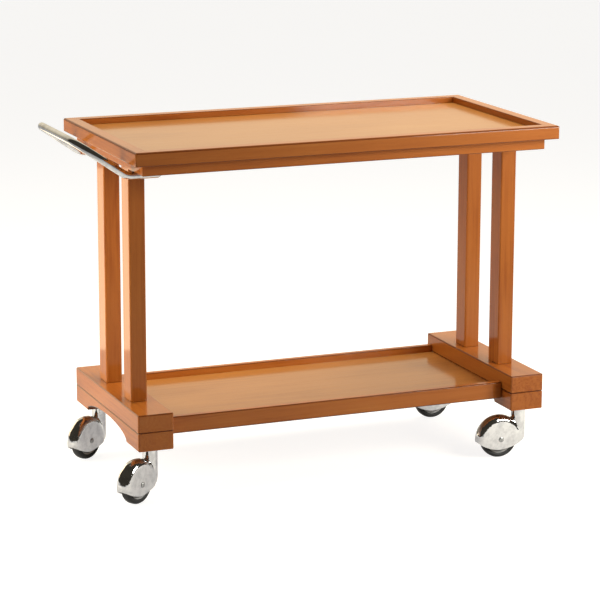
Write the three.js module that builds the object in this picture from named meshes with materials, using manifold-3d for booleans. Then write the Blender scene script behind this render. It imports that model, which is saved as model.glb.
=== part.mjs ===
// Food service trolley: a lacquered wooden cart with a tray top, a lower shelf carried between two
// arched feet, a bent chrome push handle at the left end and four hooded swivel castors.
// Millimetres, +Z up, X along the trolley's length with the handle at -X, front at -Y, floor at z = 0.
import * as THREE from "three";
import { mergeVertices } from "three/addons/utils/BufferGeometryUtils.js";
import Module from "manifold-3d";

const wasm = await Module();
wasm.setup();

// ---- Driving dimensions -------------------------------------------------------------------------
const fit = 0.3; // glue line or clearance between two pieces that touch

const trolleyLength = 1060; // over the tray frame, without the handle
const trolleyWidth = 550; // over the tray frame
const frameHeight = 32; // tray frame rails
const rimWidth = 32;
const rimRound = 5; // round on the rim's outer top edge
const rebateDepth = 10; // how far the panel reaches under the rim
const trayDepth = 15; // rim top down to the panel

const apronHeight = 27; // sub-frame under the tray
const apronInsetX = 25;
const apronInsetY = 27;
const apronThickness = 22;
const bearerWidth = 120; // cross bearers that the posts and the handle are fixed to

const postLength = 556;
const postX = 40; // post section along X
const postY = 54; // post section along Y
const postSpacing = 186; // between the centre lines of a pair
const postRound = 4;

const footWidth = 86; // along X
const footLength = 480; // along Y
const footInset = 10.5; // outer face of a foot behind the end of the tray
const footUpperHeight = 43;
const footLowerHeight = 43;
const footRound = 3;
const archSpan = 300;
const archRise = 28;

const shelfFrontInset = 85; // front face of the shelf behind the front of the tray
const shelfBackInset = 50; // back face of the shelf ahead of the back of the tray
const shelfRailThickness = 18;
const shelfRailHeight = 41;
const shelfRailRise = 20; // underside of the shelf rails above the underside of the feet
const shelfPanelThickness = 18;
const shelfTrayDepth = 17; // top of the shelf rails down to the shelf panel

const dowelDiameter = 12;
const dowelDepth = 20; // in each of the two pieces it joins

const tubeDiameter = 18; // handle tube
const handleSpan = 350; // between the centre lines of the handle's arms
const handleReach = 99; // end of the tray out to the centre line of the grip
const handleTilt = 34.7; // degrees that the arms rise
const armBendRadius = 40; // an arm starts to rise where it leaves the bearer
const gripBendRadius = 65;
const armInsideLength = 137; // end of the tray in to the tip of the pressed end
const pressedLength = 42;
const pressedThickness = 4.5;
const pressedWidth = 25;
const pressRun = 24; // length over which the round tube is pressed flat

const screwShank = 4.4;
const screwHead = 9;
const screwHeadHeight = 2.6;
const screwDepth = 18; // into the bearer
const screwPitch = 20;
const screwEndMargin = 11; // tip of the pressed end to the first screw

const castorEndInset = 46; // end of a foot in to the swivel axis
const castorOffset = 52; // swivel axis to the wheel's axle
const wheelDiameter = 94;
const tyreWidth = 24;
const tyreDepth = 12; // radial thickness of the tyre
const wheelRim = 6; // radial thickness of the core's rim
const hubDiameter = 18;
const axleDiameter = 8;
const axleHeadDiameter = 13;
const axleHeadHeight = 1.8;
const hoodWidth = 38;
const hoodWall = 2.6;
const hoodClearance = 9.9; // tread to the inside of the hood
const crownGap = 19.5; // crown of the hood to the underside of the foot
const neckDiameter = 35;
const neckGap = 2.4; // underside of the foot to the top of the neck
const skirtDrop = 25; // axle down to the lowest point of the hood's skirt
const stemDiameter = 11;
const stemInNeck = 24;
const socketRoof = 6; // wood left above a socket in the lower foot block
const socketWall = 1.7;
const socketFlangeDiameter = 26;
const socketFlangeThickness = 1.5;

// Where each castor's wheel trails at rest, in degrees from +X.
const trailAngle = { front_left: 213.5, back_left: 213.5, front_right: 178, back_right: 183 };

// ---- Derived levels and places ------------------------------------------------------------------
const castorHeight = wheelDiameter + hoodClearance + hoodWall + crownGap;
const footUpperZ = castorHeight + footLowerHeight;
const footTopZ = footUpperZ + footUpperHeight;
const apronZ = footTopZ + postLength;
const frameZ = apronZ + apronHeight;
const frameTopZ = frameZ + frameHeight;
const halfLength = trolleyLength / 2;
const halfWidth = trolleyWidth / 2;
const footCentreX = halfLength - footInset - footWidth / 2;
const tubeRadius = tubeDiameter / 2;
const handleOverhang = handleReach + tubeRadius;
const ends = { left: -1, right: 1 };
const sides = { front: -1, back: 1 };

// ---- Materials ----------------------------------------------------------------------------------
function finish(color, roughness, metalness) {
  return () => new THREE.MeshStandardMaterial({ color, roughness, metalness });
}
const walnut = finish(0xa9642f, 0.28, 0);
const veneer = finish(0xd6a873, 0.35, 0);
const chrome = finish(0xd9dadc, 0.12, 1);
const zinc = finish(0xa8abad, 0.4, 1);
const rubber = finish(0x202123, 0.7, 0);
const nylon = finish(0x6d6f72, 0.5, 0);
const beech = finish(0xd9bd8d, 0.7, 0);

const trolley = new THREE.Group();
// The tray sits off centre by half the handle's overhang, so the whole trolley is centred.
const chassis = new THREE.Group();
chassis.position.x = handleOverhang / 2;
trolley.add(chassis);

function add(parent, name, geometry, material, x = 0, y = 0, z = 0) {
  const mesh = new THREE.Mesh(geometry, material());
  mesh.name = name;
  mesh.position.set(x, y, z);
  parent.add(mesh);
  return mesh;
}

// ---- Solids -------------------------------------------------------------------------------------
function toSolid(geometry) {
  const bare = geometry.clone();
  bare.deleteAttribute("normal");
  bare.deleteAttribute("uv");
  const merged = mergeVertices(bare, 1e-4);
  const vertProperties = new Float32Array(merged.getAttribute("position").array);
  const triVerts = new Uint32Array(merged.index.array);
  return new wasm.Manifold(new wasm.Mesh({ numProp: 3, vertProperties, triVerts }));
}

function toGeometry(solid) {
  const mesh = solid.getMesh();
  const geometry = new THREE.BufferGeometry();
  geometry.setAttribute("position", new THREE.BufferAttribute(new Float32Array(mesh.vertProperties), 3));
  geometry.setIndex(new THREE.BufferAttribute(new Uint32Array(mesh.triVerts), 1));
  geometry.computeVertexNormals();
  return geometry;
}

function cut(geometry, ...tools) {
  let solid = toSolid(geometry);
  for (const tool of tools) solid = solid.subtract(toSolid(tool));
  return toGeometry(solid);
}

// A box with all its edges rounded: x, y and z sizes, centred in X and Y, standing on z = 0.
function slab(x, y, z, round) {
  const outline = new THREE.Shape();
  outline.moveTo(x / 2, -y / 2 + round);
  outline.lineTo(x / 2, y / 2 - round);
  outline.absarc(x / 2 - round, y / 2 - round, round, 0, Math.PI / 2);
  outline.lineTo(-x / 2 + round, y / 2);
  outline.absarc(-x / 2 + round, y / 2 - round, round, Math.PI / 2, Math.PI);
  outline.lineTo(-x / 2, -y / 2 + round);
  outline.absarc(-x / 2 + round, -y / 2 + round, round, Math.PI, 1.5 * Math.PI);
  outline.lineTo(x / 2 - round, -y / 2);
  outline.absarc(x / 2 - round, -y / 2 + round, round, 1.5 * Math.PI, 2 * Math.PI);
  const bevel = round * 0.7;
  return new THREE.ExtrudeGeometry(outline, {
    depth: z - 2 * bevel,
    curveSegments: 1,
    bevelEnabled: true,
    bevelSize: bevel,
    bevelThickness: bevel,
    bevelOffset: -bevel,
    bevelSegments: 1,
  }).translate(0, 0, bevel);
}

// An upright cylinder from z = bottom to z = top.
function peg(diameter, bottom, top, x = 0, y = 0, sides = 20) {
  const height = top - bottom;
  return new THREE.CylinderGeometry(diameter / 2, diameter / 2, height, sides)
    .rotateX(Math.PI / 2)
    .translate(x, y, (top + bottom) / 2);
}

// A profile of [radius, height] points turned about the Z axis.
function turned(profile, segments) {
  const points = profile.map(([radius, height]) => new THREE.Vector2(radius, height));
  return new THREE.LatheGeometry(points, segments).rotateX(Math.PI / 2);
}

// A profile of [radius, width] points turned about the Y axis, as a wheel is.
function turnedWheel(profile, segments) {
  const points = profile.map(([radius, width]) => new THREE.Vector2(radius, width));
  return new THREE.LatheGeometry(points, segments);
}

// ---- Tray: four mitred rails round a veneered panel ----------------------------------------------
// The rail's section has its outer face at u = 0 and its inner face at u = rimWidth, and its ends are
// sheared to 45 degrees. It runs along X with its outer face towards -Y.
function mitredRail(length) {
  const rebateHeight = frameHeight - trayDepth + fit;
  const arris = 2;
  const section = new THREE.Shape();
  section.moveTo(arris, 0);
  section.lineTo(rimWidth - rebateDepth, 0);
  section.lineTo(rimWidth - rebateDepth, rebateHeight);
  section.lineTo(rimWidth, rebateHeight);
  section.lineTo(rimWidth, frameHeight - arris);
  section.absarc(rimWidth - arris, frameHeight - arris, arris, 0, Math.PI / 2);
  section.lineTo(rimRound, frameHeight);
  section.absarc(rimRound, frameHeight - rimRound, rimRound, Math.PI / 2, Math.PI);
  section.lineTo(0, arris);
  section.absarc(arris, arris, arris, Math.PI, 1.5 * Math.PI);
  const geometry = new THREE.ExtrudeGeometry(section, {
    depth: length,
    curveSegments: 4,
    bevelEnabled: false,
  });
  const position = geometry.getAttribute("position");
  for (let i = 0; i < position.count; i++) {
    const u = position.getX(i);
    const z = position.getY(i);
    const along = position.getZ(i);
    const atFarEnd = along > length / 2;
    const x = atFarEnd ? length / 2 - u - fit : -length / 2 + u + fit;
    position.setXYZ(i, x, u, z);
  }
  // Taking (u, z, along) to (x, y, z) is a turn, so the faces still point out.
  geometry.computeVertexNormals();
  return geometry;
}

for (const [side, sign] of Object.entries(sides)) {
  const rail = add(chassis, `tray_rail_${side}`, mitredRail(trolleyLength), walnut, 0, sign * halfWidth, frameZ);
  rail.rotation.z = sign < 0 ? 0 : Math.PI;
}
for (const [end, sign] of Object.entries(ends)) {
  const rail = add(chassis, `tray_rail_${end}`, mitredRail(trolleyWidth), walnut, sign * halfLength, 0, frameZ);
  rail.rotation.z = sign < 0 ? -Math.PI / 2 : Math.PI / 2;
}

const panelMargin = rimWidth - rebateDepth + fit;
const trayPanel = new THREE.BoxGeometry(
  trolleyLength - 2 * panelMargin,
  trolleyWidth - 2 * panelMargin,
  frameHeight - trayDepth,
).translate(0, 0, (frameHeight - trayDepth) / 2);
add(chassis, "tray_panel", trayPanel, veneer, 0, 0, frameZ);

// ---- Posts, and the dowels that pin them ---------------------------------------------------------
const postCentres = { front: -postSpacing / 2, back: postSpacing / 2 };
const dowelHole = dowelDiameter + 2 * fit;

function post() {
  const shape = new THREE.Shape();
  const x = postX / 2;
  const y = postY / 2;
  shape.moveTo(x, -y + postRound);
  shape.lineTo(x, y - postRound);
  shape.absarc(x - postRound, y - postRound, postRound, 0, Math.PI / 2);
  shape.lineTo(-x + postRound, y);
  shape.absarc(-x + postRound, y - postRound, postRound, Math.PI / 2, Math.PI);
  shape.lineTo(-x, -y + postRound);
  shape.absarc(-x + postRound, -y + postRound, postRound, Math.PI, 1.5 * Math.PI);
  shape.lineTo(x - postRound, -y);
  shape.absarc(x - postRound, -y + postRound, postRound, 1.5 * Math.PI, 2 * Math.PI);
  const height = postLength - 2 * fit;
  const body = new THREE.ExtrudeGeometry(shape, { depth: height, curveSegments: 4, bevelEnabled: false });
  return cut(
    body,
    peg(dowelHole, -1, dowelDepth, 0, 0, 12),
    peg(dowelHole, height - dowelDepth, height + 1, 0, 0, 12),
  );
}

function dowel() {
  const chamfer = 1.5;
  const radius = dowelDiameter / 2;
  const length = 2 * dowelDepth - 2 * fit;
  return turned(
    [
      [0, -length / 2],
      [radius - chamfer, -length / 2],
      [radius, -length / 2 + chamfer],
      [radius, length / 2 - chamfer],
      [radius - chamfer, length / 2],
      [0, length / 2],
    ],
    12,
  );
}

for (const [end, endSign] of Object.entries(ends)) {
  for (const [side, y] of Object.entries(postCentres)) {
    const x = endSign * footCentreX;
    add(chassis, `post_${side}_${end}`, post(), walnut, x, y, footTopZ + fit);
    add(chassis, `post_dowel_lower_${side}_${end}`, dowel(), beech, x, y, footTopZ);
    add(chassis, `post_dowel_upper_${side}_${end}`, dowel(), beech, x, y, apronZ);
  }
}

// ---- Apron under the tray -----------------------------------------------------------------------
const apronLength = trolleyLength - 2 * apronInsetX;
const apronWidth = trolleyWidth - 2 * apronInsetY;
const apronPieceHeight = apronHeight - fit;
const apronEdge = 1.5;
for (const [side, sign] of Object.entries(sides)) {
  const rail = slab(apronLength, apronThickness, apronPieceHeight, apronEdge);
  add(chassis, `apron_rail_${side}`, rail, walnut, 0, sign * (apronWidth - apronThickness) / 2, apronZ);
}

// Screws lie in a row along each pressed end of the handle.
const tabTipX = -halfLength + armInsideLength;
const screwXs = [tabTipX - screwEndMargin, tabTipX - screwEndMargin - screwPitch];
const armYs = { front: -handleSpan / 2, back: handleSpan / 2 };
const bearerLength = apronWidth - 2 * apronThickness - 2 * fit;
const bearerX = apronLength / 2 - bearerWidth / 2;

for (const [end, sign] of Object.entries(ends)) {
  const holes = Object.values(postCentres).map((y) =>
    peg(dowelHole, -1, dowelDepth, sign * (footCentreX - bearerX), y, 12),
  );
  if (end === "left") {
    for (const y of Object.values(armYs)) {
      for (const x of screwXs) {
        holes.push(peg(screwShank + 2 * fit, -1, screwDepth + 1, x + bearerX, y, 10));
      }
    }
  }
  const bearer = cut(slab(bearerWidth, bearerLength, apronPieceHeight, apronEdge), ...holes);
  add(chassis, `apron_bearer_${end}`, bearer, walnut, sign * bearerX, 0, apronZ);
}

// ---- Feet: a plain upper block on an arched lower block -------------------------------------------
function footUpper() {
  const block = slab(footWidth, footLength, footUpperHeight, footRound);
  const bottom = footUpperHeight - dowelDepth;
  const top = footUpperHeight + 1;
  const holes = Object.values(postCentres).map((y) => peg(dowelHole, bottom, top, 0, y, 12));
  return cut(block, ...holes);
}

const castorY = footLength / 2 - castorEndInset;
const socketLength = footLowerHeight - socketRoof;
const socketDiameter = stemDiameter + 2 * (fit + 0.1 + socketWall);

function footLower() {
  const height = footLowerHeight - fit;
  const outline = new THREE.Shape();
  outline.moveTo(-footLength / 2, 0);
  outline.lineTo(-archSpan / 2, 0);
  outline.absellipse(0, 0, archSpan / 2, archRise, Math.PI, 0, true);
  outline.lineTo(footLength / 2, 0);
  outline.lineTo(footLength / 2, height);
  outline.lineTo(-footLength / 2, height);
  outline.closePath();
  const bevel = footRound * 0.6;
  const geometry = new THREE.ExtrudeGeometry(outline, {
    depth: footWidth - 2 * bevel,
    curveSegments: 10,
    bevelEnabled: true,
    bevelSize: bevel,
    bevelThickness: bevel,
    bevelOffset: -bevel,
    bevelSegments: 1,
  });
  // The outline was drawn in Y and Z and pushed along X.
  geometry.translate(0, 0, bevel - footWidth / 2);
  geometry.rotateX(Math.PI / 2);
  geometry.rotateZ(Math.PI / 2);
  const sockets = [-castorY, castorY].map((y) =>
    peg(socketDiameter + 2 * fit, -1, socketLength + fit, 0, y, 16),
  );
  return cut(geometry, ...sockets);
}

for (const [end, sign] of Object.entries(ends)) {
  add(chassis, `foot_upper_${end}`, footUpper(), walnut, sign * footCentreX, 0, footUpperZ);
  add(chassis, `foot_lower_${end}`, footLower(), walnut, sign * footCentreX, 0, castorHeight);
}

// ---- Lower shelf between the feet ---------------------------------------------------------------
const shelfLength = 2 * (footCentreX - footWidth / 2 - fit);
const shelfZ = castorHeight + shelfRailRise;
const shelfFrontY = -halfWidth + shelfFrontInset;
const shelfBackY = halfWidth - shelfBackInset;
const shelfRail = () => slab(shelfLength, shelfRailThickness, shelfRailHeight, footRound);
add(chassis, "shelf_rail_front", shelfRail(), walnut, 0, shelfFrontY + shelfRailThickness / 2, shelfZ);
add(chassis, "shelf_rail_back", shelfRail(), walnut, 0, shelfBackY - shelfRailThickness / 2, shelfZ);

const shelfPanelWidth = shelfBackY - shelfFrontY - 2 * (shelfRailThickness + fit);
const shelfPanelTop = shelfZ + shelfRailHeight - shelfTrayDepth;
add(
  chassis,
  "shelf_panel",
  new THREE.BoxGeometry(shelfLength, shelfPanelWidth, shelfPanelThickness),
  veneer,
  0,
  (shelfFrontY + shelfBackY) / 2,
  shelfPanelTop - shelfPanelThickness / 2,
);

// ---- Push handle: one tube, bent, with its two ends pressed flat and screwed up into the bearer ----
const armZ = apronZ - fit - tubeRadius;

// A path that runs straight between its points, with one extrusion step to each.
class PointPath extends THREE.Curve {
  constructor(points) {
    super();
    this.points = points;
  }
  getPoint(t) {
    const last = this.points.length - 1;
    const i = Math.min(Math.floor(t * last), last - 1);
    return this.points[i].clone().lerp(this.points[i + 1], t * last - i);
  }
  getPointAt(t) {
    return this.getPoint(t);
  }
  getTangentAt(t) {
    return this.getTangent(t);
  }
}

// The points of an arc that rounds off a corner.
function roundCorner(before, corner, after, radius, steps) {
  const back = before.clone().sub(corner).normalize();
  const ahead = after.clone().sub(corner).normalize();
  const halfAngle = back.angleTo(ahead) / 2;
  const middle = back.clone().add(ahead).normalize();
  const centre = corner.clone().addScaledVector(middle, radius / Math.sin(halfAngle));
  const entry = corner.clone().addScaledVector(back, radius / Math.tan(halfAngle));
  const axis = back.clone().cross(ahead).negate().normalize();
  const turn = Math.PI - 2 * halfAngle;
  const points = [];
  for (let i = 0; i <= steps; i++) {
    points.push(entry.clone().sub(centre).applyAxisAngle(axis, (turn * i) / steps).add(centre));
  }
  return points;
}

const tilt = THREE.MathUtils.degToRad(handleTilt);
const bendX = -halfLength + apronInsetX - fit - armBendRadius * Math.tan(tilt / 2);
const gripX = -halfLength - handleReach;
const gripZ = armZ + (bendX - gripX) * Math.tan(tilt);
const handleCorners = [
  new THREE.Vector3(tabTipX, armYs.front, armZ),
  new THREE.Vector3(bendX, armYs.front, armZ),
  new THREE.Vector3(gripX, armYs.front, gripZ),
  new THREE.Vector3(gripX, armYs.back, gripZ),
  new THREE.Vector3(bendX, armYs.back, armZ),
  new THREE.Vector3(tabTipX, armYs.back, armZ),
];
const pressEndX = tabTipX - pressedLength;
const pressStartX = pressEndX - pressRun;

// The straight part of an arm, from its tip to the start of its bend.
function armPoints(y) {
  const points = [new THREE.Vector3(tabTipX, y, armZ)];
  for (let i = 0; i <= 5; i++) {
    points.push(new THREE.Vector3(pressEndX - (pressRun * i) / 5, y, armZ));
  }
  return points;
}

const handlePoints = armPoints(armYs.front);
const bends = [
  [armBendRadius, 5],
  [gripBendRadius, 8],
  [gripBendRadius, 8],
  [armBendRadius, 5],
];
bends.forEach(([radius, steps], i) => {
  const [before, corner, after] = handleCorners.slice(i, i + 3);
  handlePoints.push(...roundCorner(before, corner, after, radius, steps));
});
handlePoints.push(...armPoints(armYs.back).reverse());

function handleTube() {
  const section = new THREE.Shape();
  section.absarc(0, 0, tubeRadius, 0, 2 * Math.PI);
  const geometry = new THREE.ExtrudeGeometry(section, {
    extrudePath: new PointPath(handlePoints),
    steps: handlePoints.length - 1,
    curveSegments: 6,
    bevelEnabled: false,
  });
  // The ends are pressed up against the bearer, thinner and wider than the round tube.
  const position = geometry.getAttribute("position");
  for (let i = 0; i < position.count; i++) {
    const x = position.getX(i);
    const y = position.getY(i);
    const z = position.getZ(i);
    const pressed = THREE.MathUtils.smoothstep(x, pressStartX, pressEndX);
    const armY = y < 0 ? armYs.front : armYs.back;
    const wider = 1 + pressed * (pressedWidth / tubeDiameter - 1);
    const thinner = 1 + pressed * (pressedThickness / tubeDiameter - 1);
    position.setY(i, armY + (y - armY) * (x > bendX ? wider : 1));
    position.setZ(i, armZ + tubeRadius - (armZ + tubeRadius - z) * thinner);
  }
  const holes = [];
  for (const y of Object.values(armYs)) {
    for (const x of screwXs) {
      holes.push(peg(screwShank + 2 * fit, armZ - tubeRadius, apronZ + 1, x, y, 10));
    }
  }
  return cut(geometry, ...holes);
}
add(chassis, "push_handle", handleTube(), chrome);

const tabUndersideZ = apronZ - fit - pressedThickness;
for (const [side, y] of Object.entries(armYs)) {
  screwXs.forEach((x, index) => {
    const screw = turned(
      [
        [0, -screwHeadHeight],
        [screwHead * 0.25, -screwHeadHeight * 0.9],
        [screwHead * 0.42, -screwHeadHeight * 0.55],
        [screwHead / 2, 0],
        [screwShank / 2, 0],
        [screwShank / 2, pressedThickness + screwDepth - 3],
        [0, pressedThickness + screwDepth],
      ],
      12,
    );
    const place = index === 0 ? "inner" : "outer";
    add(chassis, `handle_screw_${side}_${place}`, screw, zinc, x, y, tabUndersideZ - fit);
  });
}

// ---- Castors ------------------------------------------------------------------------------------
// Each is drawn about its swivel axis with z = 0 at the underside of the foot and the wheel trailing
// along +X, then turned to its rest angle.
const wheelRadius = wheelDiameter / 2;
const axleZ = wheelRadius - castorHeight;
const socketInner = stemDiameter + 2 * (fit + 0.1);

function castorSocket() {
  const flangeBottom = -fit - socketFlangeThickness;
  return turned(
    [
      [socketInner / 2, flangeBottom],
      [socketFlangeDiameter / 2, flangeBottom],
      [socketFlangeDiameter / 2, -fit],
      [socketDiameter / 2, -fit],
      [socketDiameter / 2, socketLength],
      [socketInner / 2, socketLength],
      [socketInner / 2, flangeBottom],
    ],
    16,
  );
}

function castorStem() {
  const radius = stemDiameter / 2;
  return turned(
    [
      [0, -stemInNeck],
      [radius, -stemInNeck],
      [radius, socketLength - 3],
      [radius - 2, socketLength - 1],
      [0, socketLength - 1],
    ],
    16,
  );
}

// The hood's rounded drum, from its flat cheeks over the shoulders to the crown.
function drum(halfWidthOfDrum, crownRadius) {
  const shoulder = halfWidthOfDrum * 0.8;
  const cheekRadius = crownRadius - shoulder;
  const profile = [[0, -halfWidthOfDrum]];
  const steps = 6;
  for (let i = 0; i <= steps; i++) {
    const angle = -Math.PI / 2 + (Math.PI * i) / steps;
    profile.push([cheekRadius + shoulder * Math.cos(angle), halfWidthOfDrum * Math.sin(angle)]);
  }
  profile.push([0, halfWidthOfDrum]);
  return turnedWheel(profile, 30).translate(castorOffset, 0, axleZ);
}

function castorHood() {
  const crownInner = wheelRadius + hoodClearance;
  const outerDrum = toSolid(drum(hoodWidth / 2, crownInner + hoodWall));
  const innerDrum = toSolid(drum(hoodWidth / 2 - hoodWall, crownInner));
  const radius = neckDiameter / 2;
  const neck = toSolid(
    turned(
      [
        [0, axleZ - skirtDrop],
        [radius * 0.5, axleZ - skirtDrop * 0.9],
        [radius * 0.85, axleZ - skirtDrop * 0.45],
        [radius, axleZ + 4],
        [radius, -neckGap - 2],
        [radius - 2, -neckGap],
        [0, -neckGap],
      ],
      20,
    ),
  );
  // Everything above the skirt's sweeping lower edge.
  const front = castorOffset + crownInner + hoodWall;
  const skirt = new THREE.Shape();
  skirt.moveTo(front + 4, axleZ - skirtDrop * 0.08);
  skirt.splineThru([
    new THREE.Vector2(castorOffset + 44, axleZ - skirtDrop * 0.58),
    new THREE.Vector2(castorOffset + 10, axleZ - skirtDrop),
    new THREE.Vector2(castorOffset - 22, axleZ - skirtDrop * 0.86),
    new THREE.Vector2(castorOffset - 48, axleZ - skirtDrop * 0.5),
    new THREE.Vector2(-neckDiameter / 2 - 4, axleZ + 2),
  ]);
  skirt.lineTo(-neckDiameter, 10);
  skirt.lineTo(front + 4, 10);
  skirt.closePath();
  const above = toSolid(
    new THREE.ExtrudeGeometry(skirt, { depth: 2 * hoodWidth, curveSegments: 3, bevelEnabled: false })
      .translate(0, 0, -hoodWidth)
      .rotateX(Math.PI / 2),
  );
  const axleHole = toSolid(
    new THREE.CylinderGeometry(axleDiameter / 2 + fit, axleDiameter / 2 + fit, 2 * hoodWidth, 16)
      .translate(castorOffset, 0, axleZ),
  );
  const stemHole = toSolid(peg(stemDiameter + 2 * fit, -stemInNeck - fit, 10, 0, 0, 20));
  const shell = outerDrum.add(neck).intersect(above);
  return toGeometry(shell.subtract(innerDrum).subtract(axleHole).subtract(stemHole));
}

function castorAxle() {
  const radius = axleDiameter / 2;
  const head = axleHeadDiameter / 2;
  const seat = hoodWidth / 2 + fit;
  return turnedWheel(
    [
      [0, -seat - axleHeadHeight],
      [head * 0.6, -seat - axleHeadHeight],
      [head, -seat],
      [radius, -seat],
      [radius, seat],
      [head, seat],
      [head * 0.6, seat + axleHeadHeight],
      [0, seat + axleHeadHeight],
    ],
    12,
  ).translate(castorOffset, 0, axleZ);
}

function wheelCore() {
  const bore = axleDiameter / 2 + fit;
  const hub = hubDiameter / 2;
  const hubHalf = hoodWidth / 2 - hoodWall - fit;
  const rimOuter = wheelRadius - tyreDepth;
  const rimInner = rimOuter - wheelRim;
  const rimHalf = tyreWidth / 2 - 1.5;
  const webHalf = 4;
  return turnedWheel(
    [
      [bore, -hubHalf],
      [hub, -hubHalf],
      [hub + 1.5, -webHalf],
      [rimInner, -webHalf],
      [rimInner + 1.5, -rimHalf],
      [rimOuter, -rimHalf],
      [rimOuter, rimHalf],
      [rimInner + 1.5, rimHalf],
      [rimInner, webHalf],
      [hub + 1.5, webHalf],
      [hub, hubHalf],
      [bore, hubHalf],
      [bore, -hubHalf],
    ],
    20,
  ).translate(castorOffset, 0, axleZ);
}

function wheelTyre() {
  const inner = wheelRadius - tyreDepth + fit;
  const half = tyreWidth / 2;
  return turnedWheel(
    [
      [inner, -half + 1],
      [wheelRadius - 5, -half],
      [wheelRadius - 1, -half + 3.5],
      [wheelRadius, -half + 8],
      [wheelRadius, half - 8],
      [wheelRadius - 1, half - 3.5],
      [wheelRadius - 5, half],
      [inner, half - 1],
      [inner, -half + 1],
    ],
    32,
  ).translate(castorOffset, 0, axleZ);
}

for (const [end, endSign] of Object.entries(ends)) {
  for (const [side, sideSign] of Object.entries(sides)) {
    const place = `${side}_${end}`;
    const castor = new THREE.Group();
    castor.position.set(endSign * footCentreX, sideSign * castorY, castorHeight);
    castor.rotation.z = THREE.MathUtils.degToRad(trailAngle[place]);
    chassis.add(castor);
    add(castor, `castor_socket_${place}`, castorSocket(), zinc);
    add(castor, `castor_stem_${place}`, castorStem(), zinc);
    add(castor, `castor_hood_${place}`, castorHood(), chrome);
    add(castor, `castor_axle_${place}`, castorAxle(), zinc);
    add(castor, `wheel_core_${place}`, wheelCore(), nylon);
    add(castor, `wheel_tyre_${place}`, wheelTyre(), rubber);
  }
}

export default trolley;
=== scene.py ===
import math

import bmesh
import bpy
from mathutils import Matrix, Vector


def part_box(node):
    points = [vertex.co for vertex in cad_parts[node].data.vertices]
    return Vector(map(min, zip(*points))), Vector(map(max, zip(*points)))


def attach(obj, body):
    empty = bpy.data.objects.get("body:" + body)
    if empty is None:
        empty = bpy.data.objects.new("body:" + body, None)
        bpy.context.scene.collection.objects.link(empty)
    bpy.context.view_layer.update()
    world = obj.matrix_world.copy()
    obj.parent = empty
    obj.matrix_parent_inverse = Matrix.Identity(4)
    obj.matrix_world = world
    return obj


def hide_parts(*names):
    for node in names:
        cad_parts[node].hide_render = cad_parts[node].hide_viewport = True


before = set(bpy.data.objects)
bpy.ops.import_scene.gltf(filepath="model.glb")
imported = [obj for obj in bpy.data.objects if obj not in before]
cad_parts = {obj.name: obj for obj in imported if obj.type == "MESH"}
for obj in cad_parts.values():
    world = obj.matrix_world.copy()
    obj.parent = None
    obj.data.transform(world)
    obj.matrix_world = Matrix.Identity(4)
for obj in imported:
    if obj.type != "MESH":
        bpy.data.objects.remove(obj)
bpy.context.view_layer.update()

# ---- Feet ---------------------------------------------------------------------------------------
# Each end stands on two hardwood blocks glued one on the other, the lower one sawn to an arch.
# They are stained walnut brown and sprayed with a hard gloss lacquer that rounds over the arrises.
ENDS = ("left", "right")
SIDES = ("front", "back")
ARRIS = 0.0006  # width that the sandpaper takes off an edge that the router left sharp
ARRIS_BEND = 40  # degrees between two faces from which their edge is an arris to sand
FLAT_WITHIN = 0.5  # degrees between two faces up to which they are one flat face
ROUNDS_FACE = (0.17, 0.985)  # how far up or down a round along a top or bottom edge faces; those rounds get a painted dark shade line
CORNER_ROUND = 0.004  # on the upright corners
CORNER_STEPS = 6
SAW_CLEARANCE = 0.00005
WELD = 0.00001  # points nearer to each other than this are one point
# how often each mark of the wood changes in a metre, along the grain and across it
GROWTH_RINGS = (0.9, 17.0)
STREAKS = (4.0, 170.0)
CLOUDS = (3.0, 7.0)
PORES = (38.0, 1500.0)
RING_TURNS = 62.0  # radians of ring after ring across one band of growth rings
WALNUT_STAIN = ((138, 66, 16), (170, 96, 34), (186, 116, 50), (84, 34, 8))  # last, the pores


def shade(red, green, blue):
    """A paint card's 0 to 255 shade as the linear colour that shaders take."""
    parts = [c / 255 for c in (red, green, blue)]
    return tuple(c / 12.92 if c <= 0.04045 else ((c + 0.055) / 1.055) ** 2.4 for c in parts) + (1.0,)


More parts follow.
